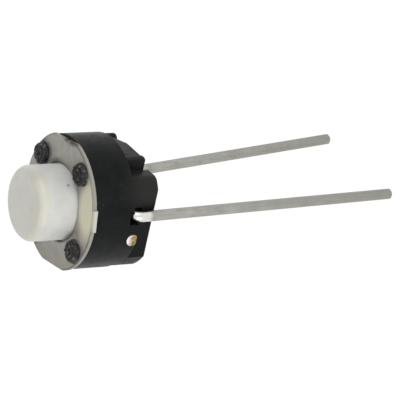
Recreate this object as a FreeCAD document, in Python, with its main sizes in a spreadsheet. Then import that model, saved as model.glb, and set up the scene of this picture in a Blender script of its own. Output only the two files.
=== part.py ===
import FreeCAD, Part
import math
import os
import Sketcher

# Round tactile switch with two wire leads, in millimetres and degrees.
# The board plane is z = 0, +Z points to the button and +X to the front lead.
# The base and the two wires repeat after half a turn about Z.

SIZES = {
    # moulded base
    "body_radius": 3.1,
    "rim_height": 3.3,
    "shoulder_height": 1.3,
    "back_standoff": 0.35,
    "flank_depth": 0.5,
    "core_inset": 0.4,
    "core_side": 1.52,
    "core_slope_start": 0.22,
    "core_slope_drop": 0.3,
    "lug_width": 0.34,
    "lug_height": 0.06,
    "lug_bevel": 0.12,
    "foot_nose_angle": 44.7,
    "foot_crest_inset": 1.6,
    "foot_inner": 0.9,
    "foot_crest_drop": 0.32,
    "foot_end_angle": 56.0,
    "foot_nose_round": 0.45,
    "foot_flank_round": 0.25,
    "foot_end_round": 0.28,
    "foot_edge_round": 0.1,
    # heat-staked posts
    "post_radius": 0.3,
    "post_root": 0.2,
    "post_clearance": 0.05,
    "head_radius": 0.5,
    "head_height": 0.22,
    "head_bevel": 0.14,
    "dish_radius": 0.2,
    "dish_depth": 0.06,
    # sheet-metal cover
    "plate_thickness": 0.2,
    "plate_overhang": 0.04,
    "plate_land": 1.28,
    "plate_turn_angle": 10.0,
    "plate_flat_depth": 0.17,
    "plate_edge_bevel": 0.04,
    "tab_half_width": 0.5,
    "tab_reach": 0.08,
    "nick_radius": 0.12,
    "nick_place": 0.15,
    # plunger
    "plunger_rise": 1.79,
    "plunger_clearance": 0.08,
    "plunger_edge_round": 0.34,
    "flange_catch": 0.1,
    "flange_thickness": 0.4,
    "flange_clearance": 0.06,
    "stop_gap": 0.02,
    "nub_radius": 0.55,
    "nub_bevel": 0.1,
    "nub_gap": 0.02,
    # snap dome
    "dome_gap": 0.06,
    "dome_height": 0.38,
    "dome_thickness": 0.08,
    # wires
    "wire_radius": 0.25,
    "wire_offset": 0.535,
    "wire_height": 1.2,
    "coin_depth": 0.06,
    "bend_radius": 0.45,
    "lead_gap": 0.05,
    "front_length": 13.05,
    "rear_length": 12.92,
    "lead_tip_bevel": 0.07,
    "front_lean_angle": 1.65,
    "rear_lean_angle": -7.4,
    "front_splay_angle": 0.3,
    "rear_splay_angle": 1.3,
    "groove_clearance": 0.06,
    "anchor_radius": 0.32,
    "anchor_length": 0.3,
    "anchor_proud": 0.02,
    "anchor_trim": 0.04,
    # stamped contacts
    "contact_thickness": 0.15,
    "bridge_half_width": 0.4,
    "bridge_end": 0.24,
    "pip_radius": 0.2,
    "pip_height": 0.05,
    "ring_width": 0.4,
    "ring_end_angle": 13.0,
}

# places and sizes that follow from the ones above
PLATE_TOP = "(Sizes.rim_height + Sizes.plate_thickness)"
PLATE_RADIUS = "(Sizes.body_radius + Sizes.plate_overhang)"
PLATE_FLAT = f"({PLATE_RADIUS} - Sizes.plate_flat_depth)"
HOLE_RADIUS = "(Sizes.body_radius - Sizes.plate_land)"
PLUNGER_RADIUS = f"({HOLE_RADIUS} - Sizes.plunger_clearance)"
FLANGE_RADIUS = f"({HOLE_RADIUS} + Sizes.flange_catch)"
CAVITY_RADIUS = f"({FLANGE_RADIUS} + Sizes.flange_clearance)"
POST_CIRCLE = f"(({CAVITY_RADIUS} + Sizes.body_radius) / 2)"
FLANK = "(Sizes.body_radius - Sizes.flank_depth)"
CORE_TOP = "(Sizes.body_radius - Sizes.core_inset)"
FOOT_TOP = "(Sizes.body_radius * sin(Sizes.foot_nose_angle))"
FOOT_CREST = "(Sizes.body_radius - Sizes.foot_crest_inset)"
DOME_RADIUS = f"({CAVITY_RADIUS} - Sizes.dome_gap)"
DOME_SPHERE = f"(({DOME_RADIUS} ^ 2 + Sizes.dome_height ^ 2) / (2 * Sizes.dome_height))"
WIRE_BOTTOM = "(Sizes.wire_height - Sizes.wire_radius)"
WIRE_TOP = "(Sizes.wire_height + Sizes.wire_radius)"
FLOOR = f"({WIRE_TOP} - Sizes.coin_depth + Sizes.contact_thickness)"
DOME_TOP = f"({FLOOR} + Sizes.dome_height)"
FLANGE_TOP = "(Sizes.rim_height - Sizes.stop_gap)"
LEAD_PLACE = f"({FLANK} + Sizes.lead_gap + Sizes.wire_radius)"
BEND_START = f"({LEAD_PLACE} - Sizes.bend_radius)"
GROOVE_HALF = "(Sizes.wire_radius + Sizes.groove_clearance)"
ANCHOR_FACE = "(sqrt(Sizes.body_radius ^ 2 - Sizes.wire_offset ^ 2) + Sizes.anchor_proud)"

NEAR = 1e-4
LINE = None

doc = FreeCAD.newDocument("TactileSwitch")
sheet = doc.addObject("Spreadsheet::Sheet", "Sizes")


def fill_sheet():
    for row, (alias, size) in enumerate(SIZES.items(), start=1):
        sheet.set(f"A{row}", alias)
        sheet.set(f"B{row}", str(size))
        sheet.setAlias(f"B{row}", alias)
    doc.recompute()


def value(expression):
    return float(sheet.evalExpression(str(expression).replace("Sizes.", "")))


# Sketches: every corner, centre and radius is bound to the sheet.

def new_body(name):
    body = doc.addObject("PartDesign::Body", name)
    body.Label = name
    return body


def new_sketch(body, name, role, height=0):
    sketch = body.newObject("Sketcher::SketchObject", name)
    origin_plane = next(f for f in body.Origin.OriginFeatures if f.Role == role)
    sketch.AttachmentSupport = [(origin_plane, "")]
    sketch.MapMode = "FlatFace"
    sketch.setExpression(".AttachmentOffset.Base.z", str(height))
    return sketch


def bind(sketch, kind, *where, size):
    index = sketch.addConstraint(Sketcher.Constraint(kind, *where, value(size)))
    sketch.renameConstraint(index, f"size{index}")
    sketch.setExpression(f"Constraints.size{index}", str(size))


def bind_point(sketch, geometry, end, x, y, held="xy"):
    if "x" in held:
        bind(sketch, "DistanceX", -1, 1, geometry, end, size=x)
    if "y" in held:
        bind(sketch, "DistanceY", -1, 1, geometry, end, size=y)


def add_circle(sketch, x, y, radius):
    centre = FreeCAD.Vector(value(x), value(y), 0)
    index = sketch.addGeometry(Part.Circle(centre, FreeCAD.Vector(0, 0, 1), value(radius)))
    bind_point(sketch, index, 3, x, y)
    bind(sketch, "Radius", index, size=radius)


def add_edge(sketch, start, end, radius):
    # a line, or the shorter arc about the sketch's origin; gives its index and the ends' numbers
    if radius is LINE:
        return sketch.addGeometry(Part.LineSegment(start, end)), 1, 2
    turn = FreeCAD.Vector(0, 0, 1)
    centre = FreeCAD.Vector(0, 0, 0)
    first, last = math.atan2(start.y, start.x), math.atan2(end.y, end.x)
    forward = start.cross(end).z > 0
    if not forward:
        first, last = last, first
    arc = Part.ArcOfCircle(Part.Circle(centre, turn, value(radius)), first, last)
    index = sketch.addGeometry(arc)
    sketch.addConstraint(Sketcher.Constraint("Coincident", index, 3, -1, 1))
    bind(sketch, "Radius", index, size=radius)
    return (index, 1, 2) if forward else (index, 2, 1)


def add_outline(sketch, corners):
    # each corner: x, y, which of the two is held, and the radius of an arc to the next corner
    points = [FreeCAD.Vector(value(x), value(y), 0) for x, y, held, radius in corners]
    edges = []
    for i, (x, y, held, radius) in enumerate(corners):
        edges.append(add_edge(sketch, points[i], points[(i + 1) % len(points)], radius))
    for i, (x, y, held, radius) in enumerate(corners):
        index, start, end = edges[i]
        last_index, last_start, last_end = edges[i - 1]
        sketch.addConstraint(Sketcher.Constraint("Coincident", last_index, last_end, index, start))
        bind_point(sketch, index, start, x, y, held)


def add_polygon(sketch, corners):
    add_outline(sketch, [(x, y, "xy", LINE) for x, y in corners])


# Features

def add_pad(body, sketch, length, backwards=False):
    pad = body.newObject("PartDesign::Pad", f"{sketch.Name}_pad")
    pad.Profile = sketch
    pad.Reversed = backwards
    pad.setExpression("Length", str(length))
    return pad


def add_pocket(body, sketch, length=None, backwards=False):
    pocket = body.newObject("PartDesign::Pocket", f"{sketch.Name}_pocket")
    pocket.Profile = sketch
    pocket.Reversed = backwards
    if length is None:
        pocket.Type = "ThroughAll"
    else:
        pocket.setExpression("Length", str(length))
    return pocket


def add_revolution(body, sketch):
    turned = body.newObject("PartDesign::Revolution", f"{sketch.Name}_turned")
    turned.Profile = sketch
    turned.ReferenceAxis = (sketch, ["V_Axis"])
    turned.Angle = 360
    return turned


def repeat_about_z(body, name, features, count):
    pattern = body.newObject("PartDesign::PolarPattern", name)
    pattern.Originals = features
    pattern.Axis = (next(f for f in body.Origin.OriginFeatures if f.Role == "Z_Axis"), [""])
    pattern.Angle = 360
    pattern.Occurrences = count
    body.Tip = pattern
    return pattern


def dress_edges(body, kind, name, size, chosen):
    doc.recompute()
    base = body.Tip
    names = [f"Edge{i}" for i, edge in enumerate(base.Shape.Edges, start=1) if chosen(edge)]
    dressed = body.newObject(f"PartDesign::{kind}", name)
    dressed.Base = (base, names)
    dressed.setExpression("Radius" if kind == "Fillet" else "Size", str(size))
    body.Tip = dressed
    return dressed


def round_edges(body, name, radius, chosen):
    return dress_edges(body, "Fillet", name, radius, chosen)


def bevel_edges(body, name, size, chosen):
    return dress_edges(body, "Chamfer", name, size, chosen)


def is_level(edge, height):
    box = edge.BoundBox
    return abs(box.ZMin - height) < NEAR and abs(box.ZMax - height) < NEAR


def is_upright(edge, x, y):
    # along Z at this place or at the one half a turn about Z from it
    box = edge.BoundBox
    x, y = value(x), value(y)
    if box.ZLength < NEAR or box.XLength > NEAR or box.YLength > NEAR:
        return False
    return any(math.hypot(box.XMin - side * x, box.YMin - side * y) < NEAR for side in (1, -1))


def is_circle(edge, radius):
    return edge.Curve.TypeId == "Part::GeomCircle" and abs(edge.Curve.Radius - radius) < NEAR


# Outlines that two pieces share, so that they fit each other.

def draw_bridge(sketch, side=1):
    # from the front wire to just past the centre
    far = "(Sizes.wire_offset + Sizes.wire_radius)"
    add_polygon(sketch, [
        ("-Sizes.bridge_half_width", "-Sizes.bridge_end"),
        ("Sizes.bridge_half_width", "-Sizes.bridge_end"),
        ("Sizes.bridge_half_width", far),
        ("-Sizes.bridge_half_width", far),
    ])


def draw_ring(sketch, side=-1):
    # most of half a ring under the dome's rim; side is the sign of its y
    outer = DOME_RADIUS
    inner = f"({DOME_RADIUS} - Sizes.ring_width)"
    across, up = "cos(Sizes.ring_end_angle)", f"{side} * sin(Sizes.ring_end_angle)"
    add_outline(sketch, [
        (f"-{outer} * {across}", f"{outer} * {up}", "y", outer),
        (f"{outer} * {across}", f"{outer} * {up}", "y", LINE),
        (f"{inner} * {across}", f"{inner} * {up}", "y", inner),
        (f"-{inner} * {across}", f"{inner} * {up}", "y", LINE),
    ])


def press_in(body, name, draw, side):
    # a seat of the contact's own outline and thickness, below the floor of the cup
    seat = new_sketch(body, name, "XY_Plane", FLOOR)
    draw(seat, side)
    return add_pocket(body, seat, "Sizes.contact_thickness")


# Base: cup, stepped back with two feet, grooves for the wires, four staked posts.

def core_corners():
    slope_end = f"({CORE_TOP} - Sizes.core_slope_drop)"
    lug_top = f"({CORE_TOP} + Sizes.lug_height)"
    lug_start = "(Sizes.core_side - Sizes.lug_width)"
    half = [
        ("Sizes.core_side", CORE_TOP),
        ("(Sizes.core_side - Sizes.lug_bevel)", lug_top),
        (lug_start, lug_top),
        (lug_start, CORE_TOP),
        ("-Sizes.core_slope_start", CORE_TOP),
        ("-Sizes.core_side", slope_end),
    ]
    return half + [(f"-({x})", f"-({y})") for x, y in half]


def foot_corners():
    radius = "Sizes.body_radius"
    inner = "Sizes.foot_inner"
    end = "Sizes.foot_end_angle"
    flank_half = f"sqrt({radius} ^ 2 - {FLANK} ^ 2)"
    return [
        (inner, f"({FOOT_TOP} - Sizes.foot_crest_drop)", "xy", LINE),
        (FOOT_CREST, FOOT_TOP, "xy", LINE),
        (f"{radius} * cos(Sizes.foot_nose_angle)", FOOT_TOP, "y", radius),
        (FLANK, flank_half, "x", LINE),
        (FLANK, f"-{flank_half}", "x", radius),
        (f"{radius} * cos({end})", f"-{radius} * sin({end})", "x", LINE),
        (inner, f"-{inner} * tan({end})", "xy", LINE),
    ]


def end_wall_corners():
    # the full-radius wall that holds the far end of the other wire
    radius = "Sizes.body_radius"
    top = f"(Sizes.wire_offset - {GROOVE_HALF})"
    flank_half = f"sqrt({radius} ^ 2 - {FLANK} ^ 2)"
    return [
        ("Sizes.foot_inner", top, "xy", LINE),
        (f"sqrt({radius} ^ 2 - {top} ^ 2)", top, "y", radius),
        (FLANK, f"-{flank_half}", "x", LINE),
        ("Sizes.foot_inner", f"-{flank_half}", "xy", LINE),
    ]


def build_housing():
    body = new_body("housing")
    disc = new_sketch(body, "base_disc", "XY_Plane", "Sizes.shoulder_height")
    add_circle(disc, 0, 0, "Sizes.body_radius")
    add_pad(body, disc, "Sizes.rim_height - Sizes.shoulder_height")

    core = new_sketch(body, "base_core", "XY_Plane", "Sizes.back_standoff")
    add_polygon(core, core_corners())
    add_pad(body, core, "Sizes.shoulder_height - Sizes.back_standoff")

    foot = new_sketch(body, "base_foot", "XY_Plane")
    add_outline(foot, foot_corners())
    foot_pad = add_pad(body, foot, "Sizes.shoulder_height")
    end_wall = new_sketch(body, "base_end_wall", "XY_Plane", WIRE_BOTTOM)
    add_outline(end_wall, end_wall_corners())
    wall_pad = add_pad(body, end_wall, f"Sizes.shoulder_height - {WIRE_BOTTOM}")
    repeat_about_z(body, "base_feet", [foot_pad, wall_pad], 2)

    nose = ("Sizes.body_radius * cos(Sizes.foot_nose_angle)", FOOT_TOP)
    turn = "Sizes.foot_end_angle"
    end = (f"Sizes.body_radius * cos({turn})", f"-Sizes.body_radius * sin({turn})")
    flank_half = f"sqrt(Sizes.body_radius ^ 2 - {FLANK} ^ 2)"
    round_edges(body, "base_noses", "Sizes.foot_nose_round", lambda edge: is_upright(edge, *nose))
    round_edges(body, "base_flanks", "Sizes.foot_flank_round",
                lambda edge: is_upright(edge, FLANK, flank_half))
    round_edges(body, "base_foot_ends", "Sizes.foot_end_round", lambda edge: is_upright(edge, *end))
    round_edges(body, "base_foot_edges", "Sizes.foot_edge_round", lambda edge: is_level(edge, 0))

    cup = new_sketch(body, "base_cup", "XY_Plane", "Sizes.rim_height")
    add_circle(cup, 0, 0, CAVITY_RADIUS)
    add_pocket(body, cup, f"Sizes.rim_height - {FLOOR}")
    press_in(body, "seat_bridge", draw_bridge, 1)
    press_in(body, "seat_ring", draw_ring, -1)

    groove = new_sketch(body, "wire_groove", "XY_Plane", f"{WIRE_TOP} + Sizes.groove_clearance")
    low, high = f"Sizes.wire_offset - {GROOVE_HALF}", f"Sizes.wire_offset + {GROOVE_HALF}"
    back = f"{BEND_START} - Sizes.groove_clearance"
    front = f"{LEAD_PLACE} + {GROOVE_HALF}"
    add_polygon(groove, [(back, low), (front, low), (front, high), (back, high)])
    groove_cut = add_pocket(body, groove, f"Sizes.bend_radius + Sizes.groove_clearance + {GROOVE_HALF}")
    channel = new_sketch(body, "wire_channel", "YZ_Plane", back)
    add_circle(channel, "Sizes.wire_offset", "Sizes.wire_height", "Sizes.wire_radius")
    channel_cut = add_pocket(body, channel)
    anchor = new_sketch(body, "wire_anchor_seat", "YZ_Plane", ANCHOR_FACE)
    add_circle(anchor, "-Sizes.wire_offset", "Sizes.wire_height", "Sizes.anchor_radius")
    anchor_cut = add_pocket(body, anchor, "Sizes.anchor_length")
    repeat_about_z(body, "wire_ways", [groove_cut, channel_cut, anchor_cut], 2)

    build_posts(body)
    return body


def build_posts(body):
    post = new_sketch(body, "staked_post", "XZ_Plane")
    angle = "(45 + Sizes.plate_turn_angle)"
    post.AttachmentOffset = FreeCAD.Placement(
        FreeCAD.Vector(0, 0, 0), FreeCAD.Rotation(FreeCAD.Vector(0, 1, 0), value(angle)))
    post.setExpression(".AttachmentOffset.Rotation.Angle", angle)
    post.setExpression(".AttachmentOffset.Base.x", f"{POST_CIRCLE} * cos({angle})")
    post.setExpression(".AttachmentOffset.Base.z", f"-{POST_CIRCLE} * sin({angle})")
    root = "(Sizes.rim_height - Sizes.post_root)"
    head_top = f"({PLATE_TOP} + Sizes.head_height)"
    add_polygon(post, [
        (0, root),
        ("Sizes.post_radius", root),
        ("Sizes.post_radius", PLATE_TOP),
        ("Sizes.head_radius", PLATE_TOP),
        ("Sizes.head_radius", f"{head_top} - Sizes.head_bevel"),
        ("Sizes.head_radius - Sizes.head_bevel", head_top),
        ("Sizes.dish_radius", head_top),
        (0, f"{head_top} - Sizes.dish_depth"),
    ])
    turned = add_revolution(body, post)
    repeat_about_z(body, "staked_posts", [turned], 4)


# Cover: one flat stamping held under the post heads.

def build_cover():
    body = new_body("cover_plate")
    sheet_metal = new_sketch(body, "cover_outline", "XY_Plane", "Sizes.rim_height")
    radius, flat, tab = PLATE_RADIUS, PLATE_FLAT, "Sizes.tab_half_width"
    flat_half = f"sqrt({radius} ^ 2 - {flat} ^ 2)"
    tab_root = f"sqrt({radius} ^ 2 - {tab} ^ 2)"
    tab_tip = f"({radius} + Sizes.tab_reach)"
    add_outline(sheet_metal, [
        (tab_tip, f"-{tab}", "xy", LINE),
        (tab_tip, tab, "xy", LINE),
        (tab_root, tab, "y", radius),
        (flat_half, flat, "y", LINE),
        (f"-{flat_half}", flat, "y", radius),
        (f"-{flat_half}", f"-{flat}", "y", LINE),
        (flat_half, f"-{flat}", "y", radius),
        (tab_root, f"-{tab}", "y", LINE),
    ])
    add_pad(body, sheet_metal, "Sizes.plate_thickness")

    button_hole = new_sketch(body, "cover_button_hole", "XY_Plane", PLATE_TOP)
    add_circle(button_hole, 0, 0, HOLE_RADIUS)
    add_pocket(body, button_hole)
    nick = new_sketch(body, "cover_nick", "XY_Plane", PLATE_TOP)
    add_circle(nick, "Sizes.nick_place", flat, "Sizes.nick_radius")
    add_pocket(body, nick)
    post_hole = new_sketch(body, "cover_post_hole", "XY_Plane", PLATE_TOP)
    spot = f"{POST_CIRCLE} * cos(45)"
    add_circle(post_hole, spot, spot, "Sizes.post_radius + Sizes.post_clearance")
    hole = add_pocket(body, post_hole)
    repeat_about_z(body, "cover_post_holes", [hole], 4)

    top, rim = value(PLATE_TOP), value(PLATE_RADIUS)
    hole_rim = value(HOLE_RADIUS)
    bevel_edges(body, "cover_rolled_edge", "Sizes.plate_edge_bevel",
                lambda edge: is_level(edge, top) and (is_circle(edge, rim) or is_circle(edge, hole_rim)))
    body.Placement = FreeCAD.Placement(
        FreeCAD.Vector(0, 0, 0), FreeCAD.Rotation(FreeCAD.Vector(0, 0, 1), value("plate_turn_angle")))
    body.setExpression(".Placement.Rotation.Angle", "Sizes.plate_turn_angle")
    return body


# Plunger: button, retaining flange and nub, turned about Z.

def build_plunger():
    body = new_body("plunger")
    section = new_sketch(body, "plunger_section", "XZ_Plane")
    nub_tip = f"({DOME_TOP} + Sizes.nub_gap)"
    flange_bottom = f"({FLANGE_TOP} - Sizes.flange_thickness)"
    face = f"({PLATE_TOP} + Sizes.plunger_rise)"
    add_polygon(section, [
        (0, nub_tip),
        ("Sizes.nub_radius - Sizes.nub_bevel", nub_tip),
        ("Sizes.nub_radius", f"{nub_tip} + Sizes.nub_bevel"),
        ("Sizes.nub_radius", flange_bottom),
        (FLANGE_RADIUS, flange_bottom),
        (FLANGE_RADIUS, FLANGE_TOP),
        (PLUNGER_RADIUS, FLANGE_TOP),
        (PLUNGER_RADIUS, face),
        (0, face),
    ])
    add_revolution(body, section)
    top = value(face)
    round_edges(body, "plunger_face_edge", "Sizes.plunger_edge_round", lambda edge: is_level(edge, top))
    return body


# Snap dome: the part of a thin spherical shell above the floor of the cup.

def build_dome():
    outer = doc.addObject("Part::Sphere", "dome_outside")
    outer.setExpression("Radius", DOME_SPHERE)
    inner = doc.addObject("Part::Sphere", "dome_inside")
    inner.setExpression("Radius", f"{DOME_SPHERE} - Sizes.dome_thickness")
    for ball in (outer, inner):
        ball.setExpression(".Placement.Base.z", f"{DOME_TOP} - {DOME_SPHERE}")
    shell = doc.addObject("Part::Cut", "dome_shell")
    shell.Base = outer
    shell.Tool = inner
    keep = doc.addObject("Part::Cylinder", "dome_keep")
    keep.setExpression("Radius", f"2 * {DOME_RADIUS}")
    keep.setExpression("Height", "2 * Sizes.dome_height")
    keep.setExpression(".Placement.Base.z", FLOOR)
    dome = doc.addObject("Part::Common", "contact_dome")
    dome.Base = shell
    dome.Tool = keep
    dome.Label = "contact_dome"
    return dome


# Contacts: stamped plates welded on the wires, flush with the floor of the cup.

def build_contact(name, draw, side):
    body = new_body(name)
    blank = new_sketch(body, f"{name}_outline", "XY_Plane", FLOOR)
    draw(blank, side)
    add_pad(body, blank, "Sizes.contact_thickness", backwards=True)
    return body


def build_centre_contact():
    body = build_contact("centre_contact", draw_bridge, 1)
    pip = new_sketch(body, "centre_pip", "XY_Plane", FLOOR)
    add_circle(pip, 0, 0, "Sizes.pip_radius")
    add_pad(body, pip, "Sizes.pip_height")
    return body


# Wires: straight through the base, bent down beside it, coined flat under the contact.

def build_lead(name, draw, side, turn):
    end = name.split("_")[0]
    lean, splay, length = (f"Sizes.{end}_{size}" for size in ("lean_angle", "splay_angle", "length"))
    body = new_body(name)
    route = new_sketch(body, f"{name}_route", "XZ_Plane")
    route.AttachmentOffset = FreeCAD.Placement(
        FreeCAD.Vector(0, 0, 0), FreeCAD.Rotation(FreeCAD.Vector(1, 0, 0), 1))
    route.setExpression(".AttachmentOffset.Rotation.Angle", lean)
    route.setExpression(".AttachmentOffset.Base.y", "Sizes.wire_height")
    route.setExpression(".AttachmentOffset.Base.z", "-Sizes.wire_offset")
    draw_route(route, lean, splay, length)
    section = new_sketch(body, f"{name}_section", "YZ_Plane", f"-{ANCHOR_FACE}")
    add_circle(section, "Sizes.wire_offset", "Sizes.wire_height", "Sizes.wire_radius")
    wire = body.newObject("PartDesign::AdditivePipe", f"{name}_wire")
    wire.Profile = section
    wire.Spine = (route, [])

    anchor = new_sketch(body, f"{name}_anchor", "YZ_Plane", f"-{ANCHOR_FACE}")
    add_circle(anchor, "Sizes.wire_offset", "Sizes.wire_height", "Sizes.anchor_radius")
    add_pad(body, anchor, "Sizes.anchor_length")
    trim = new_sketch(body, f"{name}_anchor_flat", "YZ_Plane", f"-{ANCHOR_FACE}")
    reach = "Sizes.anchor_radius"
    low, high = f"Sizes.wire_offset - 2 * {reach}", f"Sizes.wire_offset + 2 * {reach}"
    flat = f"{WIRE_BOTTOM} + Sizes.anchor_trim"
    add_polygon(trim, [
        (low, f"{WIRE_BOTTOM} - {reach}"),
        (high, f"{WIRE_BOTTOM} - {reach}"),
        (high, flat),
        (low, flat),
    ])
    add_pocket(body, trim, "Sizes.anchor_length", backwards=True)
    press_in(body, f"{name}_coined", draw, side)

    doc.recompute()
    tip = body.Tip.Shape.BoundBox.ZMin
    radius = value("wire_radius")
    bevel_edges(body, f"{name}_tip", "Sizes.lead_tip_bevel",
                lambda edge: is_circle(edge, radius) and edge.CenterOfMass.z < tip + radius)
    body.Placement = FreeCAD.Placement(
        FreeCAD.Vector(0, 0, 0), FreeCAD.Rotation(FreeCAD.Vector(0, 0, 1), turn))
    return body


def draw_route(route, lean, splay, length):
    # run along X, the bend, then the lead; the sketch's origin is on the wire's axis
    start = (f"-{ANCHOR_FACE}", "0")
    bend_start = (BEND_START, "0")
    drop = f"(({length} + Sizes.wire_height) / cos({lean}))"
    bend_end_x = f"({BEND_START} + Sizes.bend_radius * cos({splay}))"
    bend_end_y = f"(-Sizes.bend_radius - Sizes.bend_radius * sin({splay}))"
    tip = (f"({bend_end_x} - ({drop} + {bend_end_y}) * tan({splay}))", f"-{drop}")

    def point(place):
        return FreeCAD.Vector(value(place[0]), value(place[1]), 0)

    centre = FreeCAD.Vector(value(BEND_START), -value("bend_radius"), 0)
    ring = Part.Circle(centre, FreeCAD.Vector(0, 0, 1), value("bend_radius"))
    run = route.addGeometry(Part.LineSegment(point(start), point(bend_start)))
    bend = route.addGeometry(Part.ArcOfCircle(ring, -math.radians(value(splay)), math.pi / 2))
    lead = route.addGeometry(Part.LineSegment(point((bend_end_x, bend_end_y)), point(tip)))
    route.addConstraint(Sketcher.Constraint("Coincident", run, 2, bend, 2))
    route.addConstraint(Sketcher.Constraint("Coincident", bend, 1, lead, 1))
    bind_point(route, run, 1, *start)
    bind_point(route, run, 2, *bend_start)
    bind_point(route, bend, 3, BEND_START, "-Sizes.bend_radius")
    bind_point(route, lead, 1, bend_end_x, bend_end_y, "y")
    bind_point(route, lead, 2, *tip)


def check(objects):
    for item in doc.Objects:
        for word in ("Invalid", "Error"):
            if word in item.State:
                raise RuntimeError(f"{item.Label} is {item.State}")
    for item in objects:
        if item.Shape.isNull() or not item.Shape.isValid() or len(item.Shape.Solids) != 1:
            raise RuntimeError(f"{item.Label} has no single valid solid")


def main():
    fill_sheet()
    pieces = [
        build_housing(),
        build_cover(),
        build_plunger(),
        build_dome(),
        build_centre_contact(),
        build_contact("rim_contact", draw_ring, -1),
        build_lead("front_lead", draw_bridge, 1, 0),
        build_lead("rear_lead", draw_ring, 1, 180),
    ]
    doc.recompute()
    check(pieces)
    os.makedirs("parts", exist_ok=True)
    for piece in pieces:
        piece.Shape.exportStep(f"parts/{piece.Label}.step")
        print(piece.Label, "volume", round(piece.Shape.Volume, 4), piece.Shape.BoundBox)


main()
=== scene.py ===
import bmesh
import bpy
import math
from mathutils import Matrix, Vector, noise


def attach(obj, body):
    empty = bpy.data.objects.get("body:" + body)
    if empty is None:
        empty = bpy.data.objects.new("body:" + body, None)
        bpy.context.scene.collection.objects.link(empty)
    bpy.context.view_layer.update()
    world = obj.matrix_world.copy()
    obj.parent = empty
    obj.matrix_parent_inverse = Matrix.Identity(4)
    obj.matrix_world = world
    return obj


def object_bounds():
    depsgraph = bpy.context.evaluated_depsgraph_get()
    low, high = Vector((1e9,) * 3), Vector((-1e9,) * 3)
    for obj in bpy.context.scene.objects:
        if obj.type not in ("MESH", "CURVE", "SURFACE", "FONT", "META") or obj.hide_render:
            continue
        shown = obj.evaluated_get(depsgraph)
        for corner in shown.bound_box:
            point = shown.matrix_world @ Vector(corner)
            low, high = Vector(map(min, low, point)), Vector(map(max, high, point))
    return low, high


# Round tactile switch: white button, staked metal cover, black base, two long tinned wires.
# The dictionaries are in millimetres and degrees; the scene is in metres, in the CAD model's frame.
# A mark's share is how strong it is, and its reach is where it starts to fade and where it ends.

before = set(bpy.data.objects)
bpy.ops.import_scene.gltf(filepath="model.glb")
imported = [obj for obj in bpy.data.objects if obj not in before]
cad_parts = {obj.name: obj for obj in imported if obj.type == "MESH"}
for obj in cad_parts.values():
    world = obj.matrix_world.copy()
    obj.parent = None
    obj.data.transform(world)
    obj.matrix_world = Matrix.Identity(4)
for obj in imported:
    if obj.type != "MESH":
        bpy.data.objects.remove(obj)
cadLow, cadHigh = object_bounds()
mm = 0.001
plateTop = 3.5                     # top face of the cover
noiseLow, noiseHigh = 0.35, 0.65   # most of a noise texture's values lie between these
print("frame loaded")


def toLinear(hexColour):
    levels = [int(hexColour[i:i + 2], 16) / 255 for i in (1, 3, 5)]
    return [c / 12.92 if c <= 0.04045 else ((c + 0.055) / 1.055) ** 2.4 for c in levels] + [1.0]


def perMetre(size):
    # texture scale that repeats about every size millimetres
    return 1 / (size * mm)


def addNode(material, kind, links=None, output=0, stops=None, **settings):
    # links give a socket a value, a hex colour or another node's output; the chosen output comes back
    # MapRange counts from, from, to, to as 1 to 4; a colour Mix has its factor at 0, its colours at 6 and 7
    tree = material.node_tree
    node = tree.nodes.new("ShaderNode" + kind)
    for name, setting in settings.items():
        setattr(node, name, setting)
    for socket, source in (links or {}).items():
        if isinstance(source, bpy.types.NodeSocket):
            tree.links.new(source, node.inputs[socket])
        else:
            node.inputs[socket].default_value = toLinear(source) if isinstance(source, str) else source
    if stops:
        ramp = node.color_ramp
        for spare in list(ramp.elements)[1:]:
            ramp.elements.remove(spare)
        ramp.elements[0].position = stops[0][0]
        ramp.elements[0].color = toLinear(stops[0][1])
        for place, colour in stops[1:]:
            ramp.elements.new(place).color = toLinear(colour)
    return node.outputs[output] if node.outputs else None


def newMaterial(name):
    material = bpy.data.materials.new(name)
    material.use_nodes = True
    material.node_tree.nodes.clear()
    return material


def spotMask(material, place, spot):
    # a mark round one place; a weight under 1 makes it longer that way
    centre = [c * mm for c in spot["place"]]
    offset = addNode(material, "VectorMath", {0: place, 1: centre}, operation="SUBTRACT")
    weights = spot.get("weights", (1.0, 1.0, 1.0))
    weighted = addNode(material, "VectorMath", {0: offset, 1: weights}, operation="MULTIPLY")
    away = addNode(material, "VectorMath", {0: weighted}, output="Value", operation="LENGTH")
    near, far = spot["reach"]
    return addNode(material, "MapRange", {
        "Value": away, 1: near * mm, 2: far * mm, 3: spot["share"], 4: 0.0},
        interpolation_type=spot.get("fade", "LINEAR"))


def roundCorners(material, radius):
    # a normal that rounds the corners off, and how well it agrees with the flat one
    roundNormal = addNode(material, "Bevel", {"Radius": radius * mm}, samples=6)
    flatNormal = addNode(material, "NewGeometry", output="Normal")
    agreement = addNode(material, "VectorMath", {
        0: roundNormal, 1: flatNormal}, output="Value", operation="DOT_PRODUCT")
    return roundNormal, agreement


pbtLook = {
    "deep": "#090a0b", "pale": "#17191a", "mottle": 0.8,
    "edge": "#2b2c2d", "edgeRound": 0.05, "edgeShare": 0.8,
    # wearAndSheen here is a paler patch on the foot: painted sheen
    "wearAndSheen": {"colour": "#2b2b29", "place": (2.4, 1.8, 0.4), "reach": (0.3, 1.8), "share": 0.95,
                "fade": "SMOOTHSTEP"},
    "dust": "#62625e", "dustSize": 0.22, "dustBend": 0.12, "dustShare": 0.45,
    "ior": 1.55, "specular": 0.1, "scuff": 0.5, "roughness": (0.32, 0.5),
    "grain": 0.07, "grainDepth": 0.004,   # the real grain is finer: drawn as coarse as it needs to show
}


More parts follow.
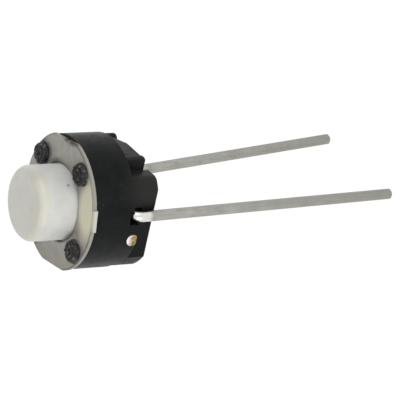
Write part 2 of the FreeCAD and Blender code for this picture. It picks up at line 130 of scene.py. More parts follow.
def mouldedPbt():
    # glass-filled PBT, injection moulded: near black and satin, faintly mottled, edges a touch paler, with a
    # painted sheen on the foot
    look = pbtLook
    material = newMaterial("mouldedGlassFilledPbt")
    place = addNode(material, "TexCoord", output="Object")
    mottle = addNode(material, "TexNoise", {
        "Vector": place, "Scale": perMetre(look["mottle"]), "Detail": 5.0, "Roughness": 0.65})
    body = addNode(material, "ValToRGB", {"Fac": mottle}, stops=[(0.35, look["deep"]), (0.7, look["pale"])])
    # a paler patch on the foot beside the front lead: painted sheen of the smooth plastic there
    sheenPatch = spotMask(material, place, look["wearAndSheen"])
    sheened = addNode(material, "Mix", {
        0: sheenPatch, 6: body, 7: look["wearAndSheen"]["colour"]}, output=2, data_type="RGBA")
    roundNormal, agreement = roundCorners(material, look["edgeRound"])
    edge = addNode(material, "MapRange", {"Value": agreement, 1: 0.98, 2: 0.8, 3: 0.0, 4: look["edgeShare"]})
    edged = addNode(material, "Mix", {0: edge, 6: sheened, 7: look["edge"]}, output=2, data_type="RGBA")
    # dust: small uneven grey specks, only here and there
    bend = look["dustBend"]
    wobble = addNode(material, "TexNoise", {
        "Vector": place, "Scale": perMetre(bend), "Detail": 2.0}, output="Color")
    bent = addNode(material, "VectorMath", {
        0: wobble, 1: (bend * mm,) * 3, 2: place}, operation="MULTIPLY_ADD")
    specks = addNode(material, "TexVoronoi", {"Vector": bent, "Scale": perMetre(look["dustSize"])})
    speckMask = addNode(material, "MapRange", {
        "Value": specks, 1: 0.16, 2: 0.05, 3: 0.0, 4: look["dustShare"]})
    patches = addNode(material, "MapRange", {"Value": mottle, 1: 0.55, 2: 0.62, 3: 0.0, 4: 1.0})
    dust = addNode(material, "Math", {0: speckMask, 1: patches}, operation="MULTIPLY")
    dusty = addNode(material, "Mix", {0: dust, 6: edged, 7: look["dust"]}, output=2, data_type="RGBA")
    scuff = addNode(material, "TexNoise", {
        "Vector": place, "Scale": perMetre(look["scuff"]), "Detail": 8.0, "Roughness": 0.75})
    low, high = look["roughness"]
    roughness = addNode(material, "MapRange", {"Value": scuff, 1: noiseLow, 2: noiseHigh, 3: low, 4: high})
    grain = addNode(material, "TexNoise", {"Vector": place, "Scale": perMetre(look["grain"]), "Detail": 3.0})
    bump = addNode(material, "Bump", {
        "Height": grain, "Strength": 0.5, "Distance": look["grainDepth"] * mm, "Normal": roundNormal})
    shader = addNode(material, "BsdfPrincipled", {
        "Base Color": dusty, "Roughness": roughness, "IOR": look["ior"],
        "Specular IOR Level": look["specular"], "Normal": bump})
    addNode(material, "OutputMaterial", {"Surface": shader})
    return material


stakedLook = {
    # deep paints shade into the crust's low spots, paintedGlint paints glints on its high spots
    "deep": "#020202", "pale": "#131110", "paintedGlint": "#7c797e", "crust": 0.15, "crustDepth": 0.09,
    "scorch": "#20130f", "scorchSize": 0.45, "scorchShare": 0.6,
    "ior": 1.55, "specular": 0.3, "roughness": (0.14, 0.5),
}


def stakedPbt():
    # the same PBT melted by a hot tip: cracked black crust, glossier on its high spots; its colour paints
    # shade into the low spots and glints onto the high ones
    look = stakedLook
    material = newMaterial("heatStakedPbt")
    place = addNode(material, "TexCoord", output="Object")
    crust = addNode(material, "TexNoise", {
        "Vector": place, "Scale": perMetre(look["crust"]), "Detail": 6.0, "Roughness": 0.7})
    # the colour follows the crust's height: painted shade low down, painted glints on top
    colour = addNode(material, "ValToRGB", {"Fac": crust}, stops=[
        (0.42, look["deep"]), (0.52, look["pale"]), (0.66, look["paintedGlint"])])
    # scorched a dark reddish brown in patches
    burn = addNode(material, "TexNoise", {
        "Vector": place, "Scale": perMetre(look["scorchSize"]), "Detail": 3.0})
    burnt = addNode(material, "MapRange", {"Value": burn, 1: 0.5, 2: 0.62, 3: 0.0, 4: look["scorchShare"]})
    scorched = addNode(material, "Mix", {0: burnt, 6: colour, 7: look["scorch"]}, output=2, data_type="RGBA")
    low, high = look["roughness"]
    roughness = addNode(material, "MapRange", {"Value": crust, 1: 0.7, 2: 0.35, 3: low, 4: high})
    bump = addNode(material, "Bump", {
        "Height": crust, "Strength": 0.9, "Distance": look["crustDepth"] * mm})
    shader = addNode(material, "BsdfPrincipled", {
        "Base Color": scorched, "Roughness": roughness, "IOR": look["ior"],
        "Specular IOR Level": look["specular"], "Normal": bump})
    addNode(material, "OutputMaterial", {"Surface": shader})
    return material


plateLook = {
    # the cover's own measures: its turn about the axis, rim, button hole, and where the tab's parts begin
    "turn": 10.0, "rim": 3.14, "bore": 1.82, "tabRoot": 3.09, "tabStart": 3.15, "tabBlend": 0.02,
    "dull": "#8c8a83", "clean": "#a3a19a", "cloud": 0.5, "cloudShare": 0.62, "roughness": (0.38, 0.55),
    # width and length of a rolling line: real ones are finer, these are as coarse as they need to show
    "line": (0.05, 1.6), "lineTilt": -22.0, "lineDepth": 0.002,
    "aged": {"colour": "#807d6e", "reach": (-2.9, -1.6), "share": 0.5},
    "cream": "#dbd8bb", "blush": "#dcd4c6", "mottle": 0.42, "hazeFilm": 0.6,
    "haze": {"place": (2.6, 0.4, plateTop), "weights": (1.0, 0.6, 1.0), "reach": (0.45, 1.1), "share": 1.0,
             "fade": "SMOOTHSTEP"},
    # soot round the staked heads, and in an arc along the button's hole
    "smudge": "#2f2b27", "blotchShare": (0.1, 0.95), "dirtySide": (-1.0, 0.1), "cleanShare": 0.12,
    "headSoot": {"place": (1.796, 1.796, plateTop), "reach": (0.5, 0.95), "share": 1.0},
    "arcSoot": {"ring": (0.1, 0.27), "start": (1.0, 1.5), "end": (-0.8, 0.1), "share": 0.68},
    "rust": {"colour": "#3f1e18", "place": (0.58, 3.04, plateTop), "weights": (0.35, 1.0, 1.0),
             "reach": (0.12, 0.3), "share": 1.0},
    "rustShare": (0.45, 1.0),
    # edge is the colour of the painted shade along the rim and its corner
    "edge": "#54534c", "edgeRound": 0.04, "edgeShare": 0.7,
    "rimShade": {"reach": (0.09, 0.05), "share": 0.6},
    # tab is a painted highlight on the tab's end
    "sheared": {"colour": "#a3a19a", "reach": (0.06, 0.045), "share": 0.9}, "tab": "#cbcac6",
}


def sootMask(material, place, onPlate, fromAxis, cloud, look):
    # soot rubbed in round the four staked heads; the hot tip was dirtiest on one side
    mirrored = addNode(material, "VectorMath", {0: onPlate}, operation="ABSOLUTE")
    ring = spotMask(material, mirrored, look["headSoot"])
    thin, thick = look["blotchShare"]
    blotch = addNode(material, "MapRange", {"Value": cloud, 1: 0.38, 2: 0.56, 3: thin, 4: thick})
    blotchy = addNode(material, "Math", {0: ring, 1: blotch}, operation="MULTIPLY")
    lengthways = addNode(material, "SeparateXYZ", {"Vector": place}, output="X")
    dirty, clean = look["dirtySide"]
    oneSided = addNode(material, "MapRange", {
        "Value": lengthways, 1: dirty * mm, 2: clean * mm, 3: 1.0, 4: look["cleanShare"]})
    headSoot = addNode(material, "Math", {0: blotchy, 1: oneSided}, operation="MULTIPLY")
    # and along part of the button's hole
    arc = look["arcSoot"]
    near, far = [(look["bore"] + reach) * mm for reach in arc["ring"]]
    boreRing = addNode(material, "MapRange", {"Value": fromAxis, 1: near, 2: far, 3: arc["share"], 4: 0.0})
    sideways = addNode(material, "SeparateXYZ", {"Vector": place}, output="Y")
    start, full = arc["start"]
    upperHalf = addNode(material, "MapRange", {
        "Value": sideways, 1: start * mm, 2: full * mm, 3: 0.0, 4: 1.0})
    boreArc = addNode(material, "Math", {0: boreRing, 1: upperHalf}, operation="MULTIPLY")
    strong, gone = arc["end"]
    arcEnd = addNode(material, "MapRange", {
        "Value": lengthways, 1: strong * mm, 2: gone * mm, 3: 1.0, 4: 0.0})
    boreSoot = addNode(material, "Math", {0: boreArc, 1: arcEnd}, operation="MULTIPLY")
    return addNode(material, "Math", {0: headSoot, 1: boreSoot}, operation="MAXIMUM")


def rimColours(material, under, place, onPlate, fromAxis, look):
    # a dark line of painted shade just inside the rim, but not across the tab
    inner, outer = [(look["rim"] - reach) * mm for reach in look["rimShade"]["reach"]]
    rimShadeBand = addNode(material, "MapRange", {
        "Value": fromAxis, 1: inner, 2: outer, 3: 0.0, 4: look["rimShade"]["share"]})
    outward = addNode(material, "SeparateXYZ", {"Vector": onPlate}, output="X")
    root, start, blend = look["tabRoot"], look["tabStart"], look["tabBlend"]
    offTab = addNode(material, "MapRange", {
        "Value": outward, 1: root * mm, 2: (root + blend) * mm, 3: 1.0, 4: 0.0})
    rimShade = addNode(material, "Math", {0: rimShadeBand, 1: offTab}, operation="MULTIPLY")
    lined = addNode(material, "Mix", {0: rimShade, 6: under, 7: look["edge"]}, output=2, data_type="RGBA")
    # below the top face the sheared rim shows bare steel, and the tab's end a painted highlight
    height = addNode(material, "SeparateXYZ", {"Vector": place}, output="Z")
    low, high = [(plateTop - reach) * mm for reach in look["sheared"]["reach"]]
    sheared = addNode(material, "MapRange", {
        "Value": height, 1: low, 2: high, 3: look["sheared"]["share"], 4: 0.0})
    onTab = addNode(material, "MapRange", {
        "Value": outward, 1: start * mm, 2: (start + blend) * mm, 3: 0.0, 4: 1.0})
    cut = addNode(material, "Mix", {
        0: onTab, 6: look["sheared"]["colour"], 7: look["tab"]}, output=2, data_type="RGBA")
    return addNode(material, "Mix", {0: sheared, 6: lined, 7: cut}, output=2, data_type="RGBA")


def stampedSteel():
    # nickel-plated steel strip, blanked: dull grey with rolling lines, a bare sheared rim, soot and rust,
    # painted shade along the rim's corner and a painted highlight on the tab's end
    look = plateLook
    material = newMaterial("nickelPlatedStampedSteel")
    place = addNode(material, "TexCoord", output="Object")
    onPlate = addNode(material, "VectorRotate", {
        "Vector": place, "Angle": -math.radians(look["turn"])}, rotation_type="Z_AXIS")
    flatPlace = addNode(material, "VectorMath", {0: place, 1: (1.0, 1.0, 0.0)}, operation="MULTIPLY")
    fromAxis = addNode(material, "VectorMath", {0: flatPlace}, output="Value", operation="LENGTH")
    # rolling lines under a cloudy tone
    turned = addNode(material, "VectorRotate", {
        "Vector": onPlate, "Angle": math.radians(look["lineTilt"])}, rotation_type="Z_AXIS")
    across, along = look["line"]
    stretched = addNode(material, "VectorMath", {
        0: turned, 1: (perMetre(across), perMetre(along), perMetre(across))}, operation="MULTIPLY")
    lines = addNode(material, "TexNoise", {"Vector": stretched, "Scale": 1.0, "Detail": 3.0})
    cloud = addNode(material, "TexNoise", {
        "Vector": place, "Scale": perMetre(look["cloud"]), "Detail": 6.0, "Roughness": 0.6})
    tone = addNode(material, "Mix", {0: look["cloudShare"], 2: lines, 3: cloud}, data_type="FLOAT")
    metal = addNode(material, "ValToRGB", {"Fac": tone}, stops=[(0.4, look["dull"]), (0.6, look["clean"])])
    # the plating has yellowed at one edge
    sideways = addNode(material, "SeparateXYZ", {"Vector": place}, output="Y")
    full, gone = look["aged"]["reach"]
    yellow = addNode(material, "MapRange", {
        "Value": sideways, 1: full * mm, 2: gone * mm, 3: look["aged"]["share"], 4: 0.0})
    aged = addNode(material, "Mix", {
        0: yellow, 6: metal, 7: look["aged"]["colour"]}, output=2, data_type="RGBA")
    # cream haze on the plating beside the button, longer along the rim than across it
    haze = spotMask(material, onPlate, look["haze"])
    mottle = addNode(material, "TexNoise", {
        "Vector": place, "Scale": perMetre(look["mottle"]), "Detail": 4.0, "Roughness": 0.7})
    hazeColour = addNode(material, "ValToRGB", {"Fac": mottle}, stops=[
        (0.42, look["cream"]), (0.6, look["blush"])])
    creamed = addNode(material, "Mix", {0: haze, 6: aged, 7: hazeColour}, output=2, data_type="RGBA")
    soot = sootMask(material, place, onPlate, fromAxis, cloud, look)
    sooty = addNode(material, "Mix", {0: soot, 6: creamed, 7: look["smudge"]}, output=2, data_type="RGBA")
    rimmed = rimColours(material, sooty, place, onPlate, fromAxis, look)
    # painted shade of the burr along the corner
    roundNormal, agreement = roundCorners(material, look["edgeRound"])
    corner = addNode(material, "MapRange", {
        "Value": agreement, 1: 0.99, 2: 0.85, 3: 0.0, 4: look["edgeShare"]})
    edged = addNode(material, "Mix", {0: corner, 6: rimmed, 7: look["edge"]}, output=2, data_type="RGBA")
    # rust along the cut edge beside the nick
    near = spotMask(material, onPlate, look["rust"])
    thin, thick = look["rustShare"]
    patchy = addNode(material, "MapRange", {"Value": cloud, 1: 0.4, 2: 0.55, 3: thin, 4: thick})
    rust = addNode(material, "Math", {0: near, 1: patchy}, operation="MULTIPLY")
    rusty = addNode(material, "Mix", {
        0: rust, 6: edged, 7: look["rust"]["colour"]}, output=2, data_type="RGBA")
    # what lies on the metal is not metal itself
    dirt = addNode(material, "Math", {0: soot, 1: rust}, operation="MAXIMUM")
    thinHaze = addNode(material, "Math", {0: haze, 1: look["hazeFilm"]}, operation="MULTIPLY")
    film = addNode(material, "Math", {0: dirt, 1: thinHaze}, operation="MAXIMUM")
    metallic = addNode(material, "MapRange", {"Value": film, 1: 0.0, 2: 1.0, 3: 1.0, 4: 0.0})
    low, high = look["roughness"]
    roughness = addNode(material, "MapRange", {"Value": cloud, 1: noiseLow, 2: noiseHigh, 3: low, 4: high})
    bump = addNode(material, "Bump", {
        "Height": lines, "Strength": 0.4, "Distance": look["lineDepth"] * mm, "Normal": roundNormal})
    shader = addNode(material, "BsdfPrincipled", {
        "Base Color": rusty, "Metallic": metallic, "Roughness": roughness, "Normal": bump})
    addNode(material, "OutputMaterial", {"Surface": shader})
    return material


nylonLook = {
    "pale": "#e6e7e4", "grey": "#d6d7d4", "cloud": 1.2, "cream": "#dcd8c6",
    "worn": {"place": (1.2, 0.0, 5.15), "weights": (1.0, 0.24, 2.4), "reach": (0.35, 1.2), "share": 0.6,
             "fade": "SMOOTHSTEP"},
    "face": {"reach": (5.1, 5.27), "share": 0.4},
    # film is painted shade on the +Y side of the button
    "film": {"colour": "#9b998e", "reach": (1.2, 1.75), "share": 0.17},
    "pink": {"colour": "#c6b6a4", "place": (0.45, 1.7, 5.16), "reach": (0.1, 0.55), "share": 0.42},
    "speck": {"colour": "#55524c", "place": (1.07, 1.372, 3.826), "reach": (0.021, 0.112), "share": 0.6},
    "ior": 1.53, "roughness": (0.36, 0.5), "glow": 0.3, "glowDepth": 0.5, "glowRadius": (1.0, 0.9, 0.8),
    "grain": 0.06, "grainDepth": 0.002,   # the real grain is finer: drawn as coarse as it needs to show
}


def mouldedNylon():
    # natural nylon, injection moulded: milky and a little translucent, satin, yellowed at the worn edge
    look = nylonLook
    material = newMaterial("naturalMouldedNylon")
    place = addNode(material, "TexCoord", output="Object")
    cloud = addNode(material, "TexNoise", {
        "Vector": place, "Scale": perMetre(look["cloud"]), "Detail": 5.0, "Roughness": 0.6})
    body = addNode(material, "ValToRGB", {"Fac": cloud}, stops=[
        (noiseLow, look["grey"]), (noiseHigh, look["pale"])])
    # yellowed by handling on the face, and most along one side of it
    worn = spotMask(material, place, look["worn"])
    height = addNode(material, "SeparateXYZ", {"Vector": place}, output="Z")
    start, full = look["face"]["reach"]
    touched = addNode(material, "MapRange", {
        "Value": height, 1: start * mm, 2: full * mm, 3: 0.0, 4: look["face"]["share"]})
    wearAndSheen = addNode(material, "Math", {0: worn, 1: touched}, operation="MAXIMUM")
    yellowed = addNode(material, "Mix", {0: wearAndSheen, 6: body, 7: look["cream"]}, output=2, data_type="RGBA")
    # painted shade that greys the +Y side, a pinkish stain and one dark speck
    sideways = addNode(material, "SeparateXYZ", {"Vector": place}, output="Y")
    start, full = look["film"]["reach"]
    film = addNode(material, "MapRange", {
        "Value": sideways, 1: start * mm, 2: full * mm, 3: 0.0, 4: look["film"]["share"]})
    marked = addNode(material, "Mix", {
        0: film, 6: yellowed, 7: look["film"]["colour"]}, output=2, data_type="RGBA")
    for name in ("pink", "speck"):
        spot = spotMask(material, place, look[name])
        marked = addNode(material, "Mix", {
            0: spot, 6: marked, 7: look[name]["colour"]}, output=2, data_type="RGBA")
    low, high = look["roughness"]
    roughness = addNode(material, "MapRange", {"Value": cloud, 1: noiseLow, 2: noiseHigh, 3: low, 4: high})
    grain = addNode(material, "TexNoise", {"Vector": place, "Scale": perMetre(look["grain"]), "Detail": 3.0})
    bump = addNode(material, "Bump", {
        "Height": grain, "Strength": 0.4, "Distance": look["grainDepth"] * mm})
    shader = addNode(material, "BsdfPrincipled", {
        "Base Color": marked, "Roughness": roughness, "IOR": look["ior"], "Normal": bump,
        "Subsurface Weight": look["glow"], "Subsurface Radius": look["glowRadius"],
        "Subsurface Scale": look["glowDepth"] * mm})
    addNode(material, "OutputMaterial", {"Surface": shader})
    return material


wireLook = {
    "dull": "#96948e", "clean": "#afaea8", "cloud": 0.6, "cloudShare": 0.5, "roughness": (0.32, 0.5),
    "tarnish": {"colour": "#85837c", "reach": (-13.0, -3.0), "share": 0.45},
    # paintedBendHighlight is a painted highlight on the bend, with a lower roughness there
    "paintedBendHighlight": {"colour": "#dedcd6", "reach": (0.55, 0.77), "ragged": 0.5, "roughness": 0.2},
    # width and length of a drawing line: real ones are finer, these are as coarse as they need to show
    "line": (0.04, 2.5), "lineDepth": 0.003,
}


def tinnedBrass():
    # drawn brass wire with a dull hot-tinned coat: soft grey, fine lines along it, small dull patches, and a
    # painted highlight at the bend
    look = wireLook
    material = newMaterial("dullTinnedBrassWire")
    place = addNode(material, "TexCoord", output="Object")
    across, along = look["line"]
    stretched = addNode(material, "VectorMath", {
        0: place, 1: (perMetre(across), perMetre(across), perMetre(along))}, operation="MULTIPLY")
    lines = addNode(material, "TexNoise", {"Vector": stretched, "Scale": 1.0, "Detail": 3.0})
    cloud = addNode(material, "TexNoise", {
        "Vector": place, "Scale": perMetre(look["cloud"]), "Detail": 6.0, "Roughness": 0.65})
    tone = addNode(material, "Mix", {0: look["cloudShare"], 2: lines, 3: cloud}, data_type="FLOAT")
    metal = addNode(material, "ValToRGB", {"Fac": tone}, stops=[(0.35, look["dull"]), (0.62, look["clean"])])
    # duller towards the tip
    height = addNode(material, "SeparateXYZ", {"Vector": place}, output="Z")
    tip, clear = look["tarnish"]["reach"]
    aged = addNode(material, "MapRange", {
        "Value": height, 1: tip * mm, 2: clear * mm, 3: look["tarnish"]["share"], 4: 0.0})
    tarnished = addNode(material, "Mix", {
        0: aged, 6: metal, 7: look["tarnish"]["colour"]}, output=2, data_type="RGBA")
    # paler at the bend: a painted highlight, where the tin is also glossier
    paintedBendHighlight = look["paintedBendHighlight"]
    ragged = addNode(material, "Math", {
        0: cloud, 1: paintedBendHighlight["ragged"] * mm, 2: height}, operation="MULTIPLY_ADD")
    start, full = paintedBendHighlight["reach"]
    bendHighlightMask = addNode(material, "MapRange", {"Value": ragged, 1: start * mm, 2: full * mm, 3: 0.0, 4: 1.0})
    tinned = addNode(material, "Mix", {
        0: bendHighlightMask, 6: tarnished, 7: paintedBendHighlight["colour"]}, output=2, data_type="RGBA")
    low, high = look["roughness"]
    satin = addNode(material, "MapRange", {"Value": cloud, 1: noiseLow, 2: noiseHigh, 3: low, 4: high})
    roughness = addNode(material, "Mix", {0: bendHighlightMask, 2: satin, 3: paintedBendHighlight["roughness"]}, data_type="FLOAT")
    bump = addNode(material, "Bump", {"Height": tone, "Strength": 0.5, "Distance": look["lineDepth"] * mm})
    shader = addNode(material, "BsdfPrincipled", {
        "Base Color": tinned, "Metallic": 1.0, "Roughness": roughness, "Normal": bump})
    addNode(material, "OutputMaterial", {"Surface": shader})
    return material


endLook = {
    "tin": "#dcd5d1", "brass": "#b5a36f", "shadow": "#6a5f38", "cloud": 0.12, "cloudDepth": 0.01,
    "split": {"reach": (1.26, 1.44), "ragged": 0.16},
    "burr": "#2a261c", "face": {"place": (3.074, 0.535, 1.2), "reach": (0.265, 0.287), "share": 1.0},
    "roughness": (0.28, 0.45),
}


def upsetBrass():
    # wire end hammered flat in the wall: bright tin smeared on one side, bare brass on the other
    look = endLook
    material = newMaterial("upsetBrassWireEnd")
    place = addNode(material, "TexCoord", output="Object")
    cloud = addNode(material, "TexNoise", {
        "Vector": place, "Scale": perMetre(look["cloud"]), "Detail": 4.0, "Roughness": 0.6})
    height = addNode(material, "SeparateXYZ", {"Vector": place}, output="Z")
    ragged = addNode(material, "Math", {
        0: cloud, 1: look["split"]["ragged"] * mm, 2: height}, operation="MULTIPLY_ADD")
    start, full = look["split"]["reach"]
    side = addNode(material, "MapRange", {"Value": ragged, 1: start * mm, 2: full * mm, 3: 1.0, 4: 0.0})
    brass = addNode(material, "ValToRGB", {"Fac": cloud}, stops=[
        (0.35, look["shadow"]), (0.6, look["brass"])])
    bare = addNode(material, "Mix", {0: side, 6: look["tin"], 7: brass}, output=2, data_type="RGBA")
    # the thin burr pressed into the wall is drawn dark; both ends sit alike, half a turn apart
    mirrored = addNode(material, "VectorMath", {0: place}, operation="ABSOLUTE")
    face = spotMask(material, mirrored, look["face"])
    metal = addNode(material, "Mix", {0: face, 6: look["burr"], 7: bare}, output=2, data_type="RGBA")
    low, high = look["roughness"]
    roughness = addNode(material, "MapRange", {"Value": cloud, 1: noiseLow, 2: noiseHigh, 3: low, 4: high})
    bump = addNode(material, "Bump", {
        "Height": cloud, "Strength": 0.6, "Distance": look["cloudDepth"] * mm})
    shader = addNode(material, "BsdfPrincipled", {
        "Base Color": metal, "Metallic": 1.0, "Roughness": roughness, "Normal": bump})
    addNode(material, "OutputMaterial", {"Surface": shader})
    return material


springLook = {
    "dull": "#a9a9a6", "clean": "#cfcfcb", "roughness": (0.18, 0.32),
    # width and length of a rolling line: real ones are finer, these are as coarse as they need to show
    "line": (0.03, 0.9), "lineDepth": 0.001,
}


def springSteel():
    # rolled stainless spring strip: bright, with fine straight rolling lines
    look = springLook
    material = newMaterial("rolledStainlessSpring")
    place = addNode(material, "TexCoord", output="Object")
    across, along = look["line"]
    stretched = addNode(material, "VectorMath", {
        0: place, 1: (perMetre(along), perMetre(across), perMetre(across))}, operation="MULTIPLY")
    lines = addNode(material, "TexNoise", {"Vector": stretched, "Scale": 1.0, "Detail": 4.0})
    metal = addNode(material, "ValToRGB", {"Fac": lines}, stops=[
        (noiseLow, look["dull"]), (noiseHigh, look["clean"])])
    low, high = look["roughness"]
    roughness = addNode(material, "MapRange", {"Value": lines, 1: noiseLow, 2: noiseHigh, 3: low, 4: high})
    bump = addNode(material, "Bump", {"Height": lines, "Strength": 0.3, "Distance": look["lineDepth"] * mm})
    shader = addNode(material, "BsdfPrincipled", {
        "Base Color": metal, "Metallic": 1.0, "Roughness": roughness, "Normal": bump})
    addNode(material, "OutputMaterial", {"Surface": shader})
    return material


contactLook = {
    "dull": "#a68a45", "clean": "#d0b266", "cloud": 0.4, "cloudDepth": 0.002, "roughness": (0.25, 0.42),
}


def stampedBrass():
    # stamped brass strip: warm yellow, slightly uneven where it was welded
    look = contactLook
    material = newMaterial("stampedBrassContact")
    place = addNode(material, "TexCoord", output="Object")
    cloud = addNode(material, "TexNoise", {
        "Vector": place, "Scale": perMetre(look["cloud"]), "Detail": 5.0, "Roughness": 0.6})
    metal = addNode(material, "ValToRGB", {"Fac": cloud}, stops=[
        (noiseLow, look["dull"]), (noiseHigh, look["clean"])])
    low, high = look["roughness"]
    roughness = addNode(material, "MapRange", {"Value": cloud, 1: noiseLow, 2: noiseHigh, 3: low, 4: high})
    bump = addNode(material, "Bump", {
        "Height": cloud, "Strength": 0.3, "Distance": look["cloudDepth"] * mm})
    shader = addNode(material, "BsdfPrincipled", {
        "Base Color": metal, "Metallic": 1.0, "Roughness": roughness, "Normal": bump})
    addNode(material, "OutputMaterial", {"Surface": shader})
    return material


cadLook = {"seam": 0.001, "cornerAngle": 28}
finishes = {
    "housing": mouldedPbt(), "cover_plate": stampedSteel(), "plunger": mouldedNylon(),
    "contact_dome": springSteel(), "centre_contact": stampedBrass(),
}
finishes["rim_contact"] = finishes["centre_contact"]
finishes["front_lead"] = finishes["rear_lead"] = tinnedBrass()
print("finishes ready")

for nodeName, finish in finishes.items():
    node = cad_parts[nodeName]
    for materialSlot in node.material_slots:
        materialSlot.material = finish
    # the CAD faces meet in open seams: join them, keep the real corners, shade the rest evenly
    node.modifiers.new("joinSeams", "WELD").merge_threshold = cadLook["seam"] * mm
    node.modifiers.new("keepCorners", "EDGE_SPLIT").split_angle = math.radians(cadLook["cornerAngle"])
    node.modifiers.new("evenShading", "WEIGHTED_NORMAL")
print("CAD pieces finished")


def joinRings(mesh, rings):
    # faces between each ring of points and the next; the first ring is one point in the middle
    for inner, outer in zip(rings, rings[1:]):
        for spoke in range(len(outer)):
            following = (spoke + 1) % len(outer)
            if len(inner) == 1:
                mesh.faces.new((inner[0], outer[spoke], outer[following]))
            else:
                mesh.faces.new((inner[spoke], outer[spoke], outer[following], inner[following]))


def placePiece(name, mesh, finish):
    for face in mesh.faces:
        face.smooth = True
    data = bpy.data.meshes.new(name)
    mesh.to_mesh(data)
    mesh.free()
    data.materials.append(finish)
    piece = bpy.data.objects.new(name, data)
    bpy.context.collection.objects.link(piece)
    return piece


headLook = {
    "circle": 2.54, "turn": 55.0, "rings": 22, "spokes": 96,
    # radius and height of the melted head, from its centre outwards
    "section": [(0.0, 0.17), (0.1, 0.19), (0.18, 0.25), (0.25, 0.26), (0.31, 0.205), (0.36, 0.2),
                (0.42, 0.245), (0.48, 0.2), (0.53, 0.1), (0.55, 0.02), (0.56, -0.01)],
    "lumps": 0.1, "lumpWaves": (1.3, 3.1), "crust": 0.034, "crustSize": 0.09, "noiseShift": (7.3, 3.1, 1.7),
    "ridges": 0.014, "ridgeCounts": (11, 8, 13, 9), "ridgeWander": 5.0, "ridgeSwell": 1.4, "swellWave": 1.9,
}


def sectionPoint(section, share):
    # radius and height at this share of the section's length
    lengths = [0.0]
    for (r0, z0), (r1, z1) in zip(section, section[1:]):
        lengths.append(lengths[-1] + math.hypot(r1 - r0, z1 - z0))
    goal = share * lengths[-1]
    for i in range(len(section) - 1):
        if goal <= lengths[i + 1] or i == len(section) - 2:
            part = (goal - lengths[i]) / (lengths[i + 1] - lengths[i])
            (r0, z0), (r1, z1) = section[i], section[i + 1]
            return r0 + (r1 - r0) * part, z0 + (z1 - z0) * part


def meltedHead(number, finish, look):
    angle = math.radians(look["turn"] + 90 * number)
    centre = Vector((look["circle"] * math.cos(angle), look["circle"] * math.sin(angle), plateTop))
    shiftX, shiftY, shiftZ = look["noiseShift"]
    offset = Vector((shiftX * number, shiftY, shiftZ * number))   # each head melts its own way
    longWave, shortWave = look["lumpWaves"]
    count = look["ridgeCounts"][number]
    mesh = bmesh.new()
    rings = []
    for ring in range(look["rings"] + 1):
        share = ring / look["rings"]
        radius, height = sectionPoint(look["section"], share)
        points = []
        for spoke in range(look["spokes"] if ring else 1):
            around = 2 * math.pi * spoke / look["spokes"]
            spread = Vector((math.cos(around), math.sin(around), 0))
            lump = noise.noise(spread * longWave + offset) + 0.5 * noise.noise(spread * shortWave + offset)
            swell = 1 + look["ridgeSwell"] * noise.noise(spread * look["swellWave"] - offset)
            ridge = swell * math.sin(count * around + look["ridgeWander"] * lump + number)
            point = spread * (radius * (1 + lump * look["lumps"]) + ridge * look["ridges"] * share ** 2)
            crust = noise.noise((point + offset) / look["crustSize"])
            rise = height + crust * look["crust"] + ridge * look["ridges"] * math.sin(math.pi * share)
            if ring == look["rings"]:
                rise = height   # the foot is level, just under the cover's top
            points.append(mesh.verts.new((centre + Vector((point.x, point.y, rise))) * mm))
        rings.append(points)
    joinRings(mesh, rings)
    mesh.faces.new(list(reversed(rings[-1])))
    head = placePiece(f"meltedHead{number + 1}", mesh, finish)
    head.modifiers.new("soft", "SUBSURF").render_levels = 1
    return head


stakedFinish = stakedPbt()
for headNumber in range(4):
    meltedPost = meltedHead(headNumber, stakedFinish, headLook)
    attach(meltedPost, "base")
print("staked heads melted")


upsetLook = {
    "offset": 0.535, "height": 1.2, "face": 3.074, "radius": 0.328, "trim": 0.985, "proud": 0.004,
    "crown": 0.035, "skirt": 0.03, "rings": 12, "spokes": 72, "dent": 0.012, "dentSize": 0.12,
}


def upsetEnd(name, side, finish, look):
    # a low crowned disc on the end of the wire, cut off straight towards the board
    mesh = bmesh.new()
    rings = []
    for ring in range(look["rings"] + 2):
        share = min(ring / look["rings"], 1)   # the last ring is the skirt that goes down into the wall
        points = []
        for spoke in range(look["spokes"] if ring else 1):
            around = 2 * math.pi * spoke / look["spokes"]
            y = look["radius"] * share * math.cos(around)
            z = max(look["radius"] * share * math.sin(around), look["trim"] - look["height"])
            dent = noise.noise(Vector((y, z, side)) / look["dentSize"]) * look["dent"]
            x = look["face"] + look["proud"] + (look["crown"] + dent) * (1 - share ** 3)
            if ring > look["rings"]:
                x = look["face"] - look["skirt"]
            point = (side * x * mm, (side * -look["offset"] + y) * mm, (look["height"] + z) * mm)
            points.append(mesh.verts.new(point))
        rings.append(points)
    joinRings(mesh, rings)
    bmesh.ops.recalc_face_normals(mesh, faces=mesh.faces)
    return placePiece(name, mesh, finish)


upsetFinish = upsetBrass()
for endName, endSide in (("rearWireEnd", 1), ("frontWireEnd", -1)):
    wireEnd = upsetEnd(endName, endSide, upsetFinish, upsetLook)
    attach(wireEnd, "base")
print("wire ends upset")


studioLook = {
    "floor": "#f2f2f0", "floorSize": 900.0, "white": "#ffffff",
    "worldLevel": 0.51, "backdropShare": 0.92, "whiteLevel": 1.06,
    # place, side length and level of each soft box; at level 1 it alone lights a facing surface fully
    "lamps": {
        "overheadBox": {"place": (20, 100, 50), "size": 70, "level": 0.28},
        "frontBox": {"place": (105, -40, 30), "size": 60, "level": 0.33},
    },
    "aim": (0, 0, 1.5),
}


def seenDirectly(material):
    # camera, mirror and glass rays all meet the plain white backdrop
    camera = addNode(material, "LightPath", output="Is Camera Ray")
    glossy = addNode(material, "LightPath", output="Is Glossy Ray")
    glass = addNode(material, "LightPath", output="Is Transmission Ray")
    either = addNode(material, "Math", {0: camera, 1: glossy}, operation="MAXIMUM")
    return addNode(material, "Math", {0: either, 1: glass}, operation="MAXIMUM")


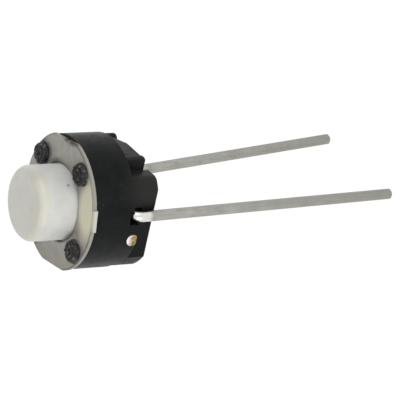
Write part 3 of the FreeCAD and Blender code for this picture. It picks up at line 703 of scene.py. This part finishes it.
def makeFloor(look):
    # matte paper: plain, and it keeps a faint soft shadow
    finish = newMaterial("paleMattePaper")
    seen = seenDirectly(finish)
    share = addNode(finish, "Math", {0: seen, 1: look["backdropShare"]}, operation="MULTIPLY")
    paper = addNode(finish, "BsdfDiffuse", {"Color": look["floor"]})
    white = addNode(finish, "Emission", {"Color": look["white"], "Strength": look["whiteLevel"]})
    mixed = addNode(finish, "MixShader", {0: share, 1: paper, 2: white})
    addNode(finish, "OutputMaterial", {"Surface": mixed})
    half = look["floorSize"] / 2 * mm
    data = bpy.data.meshes.new("paperFloor")
    corners = [(-half, -half, 0), (half, -half, 0), (half, half, 0), (-half, half, 0)]
    data.from_pydata(corners, [], [(0, 1, 2, 3)])
    data.materials.append(finish)
    floor = bpy.data.objects.new("paperFloor", data)
    floor.location.z = cadLow.z
    bpy.context.collection.objects.link(floor)


def makeWorld(look):
    world = bpy.data.worlds.new("softStudio")
    world.use_nodes = True
    world.node_tree.nodes.clear()
    seen = seenDirectly(world)
    strength = addNode(world, "MapRange", {"Value": seen, 1: 0.0, 2: 1.0, 3: look["worldLevel"], 4: 1.0})
    sky = addNode(world, "Background", {"Color": look["white"], "Strength": strength})
    addNode(world, "OutputWorld", {"Surface": sky})
    bpy.context.scene.world = world


def makeLamps(look):
    aim = Vector(look["aim"]) * mm
    for name, lamp in look["lamps"].items():
        light = bpy.data.lights.new(name, "AREA")
        light.shape = "SQUARE"
        light.size = lamp["size"] * mm
        place = Vector(lamp["place"]) * mm
        light.energy = lamp["level"] * math.pi ** 2 * (place - aim).length_squared
        box = bpy.data.objects.new(name, light)
        box.location = place
        box.rotation_euler = (aim - place).to_track_quat("-Z", "Y").to_euler()
        bpy.context.collection.objects.link(box)


cameraLook = {
    "place": (84.7557, 45.3624, 57.3007), "turn": (-5.1127, 57.2624, 22.2752),
    "lens": 218.4, "sensor": 36, "shift": (-0.00175, 0.00125), "clip": (10, 10000),
}


def makeCamera(look):
    data = bpy.data.cameras.new("productCamera")
    data.lens = look["lens"]
    data.sensor_width = look["sensor"]
    data.shift_x, data.shift_y = look["shift"]
    data.clip_start, data.clip_end = [distance * mm for distance in look["clip"]]
    camera = bpy.data.objects.new("productCamera", data)
    camera.location = Vector(look["place"]) * mm
    camera.rotation_euler = [math.radians(turn) for turn in look["turn"]]
    bpy.context.collection.objects.link(camera)
    bpy.context.scene.camera = camera


makeFloor(studioLook)
makeWorld(studioLook)
makeLamps(studioLook)
makeCamera(cameraLook)
bpy.context.scene.view_settings.view_transform = "Standard"
print("studio and camera set")
